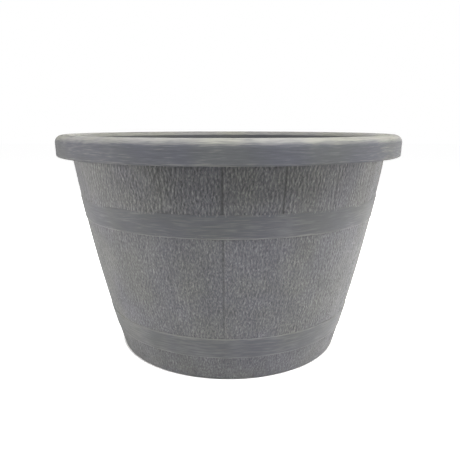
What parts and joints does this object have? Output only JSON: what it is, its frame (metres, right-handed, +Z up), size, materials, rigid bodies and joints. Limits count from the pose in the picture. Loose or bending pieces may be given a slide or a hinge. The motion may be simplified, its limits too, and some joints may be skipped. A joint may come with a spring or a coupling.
{
  "type": "barrel planter",
  "caption": "Round tapered planter moulded like a half barrel with staves and hoops in relief, a turned-down rolled rim, and lift-out drain plugs in its raised floor.",
  "frame": {"origin": "centre of the foot, on the ground", "axes": "+Z up the axis of the barrel, -Y towards the pictured side, +X to its right"},
  "size_m": [0.39, 0.39, 0.246],
  "materials": {
    "shell_resin": "weathered grey resin, moulded wood grain",
    "plug_rubber": "matt black rubber"
  },
  "bodies": {
    "shell": {"planter_shell": "shell_resin"},
    "plug_1": {"drain_plug_1": "plug_rubber"},
    "plug_2": {"drain_plug_2": "plug_rubber"},
    "plug_3": {"drain_plug_3": "plug_rubber"},
    "plug_4": {"drain_plug_4": "plug_rubber"}
  },
  "joints": [
    {"name": "plug_1_lift", "type": "slide", "parent": "shell", "child": "plug_1", "axis": [0, 0, 1], "range_m": [0, 0.26]},
    {"name": "plug_2_lift", "type": "slide", "parent": "shell", "child": "plug_2", "axis": [0, 0, 1], "range_m": [0, 0.26]},
    {"name": "plug_3_lift", "type": "slide", "parent": "shell", "child": "plug_3", "axis": [0, 0, 1], "range_m": [0, 0.26]},
    {"name": "plug_4_lift", "type": "slide", "parent": "shell", "child": "plug_4", "axis": [0, 0, 1], "range_m": [0, 0.26]}
  ]
}
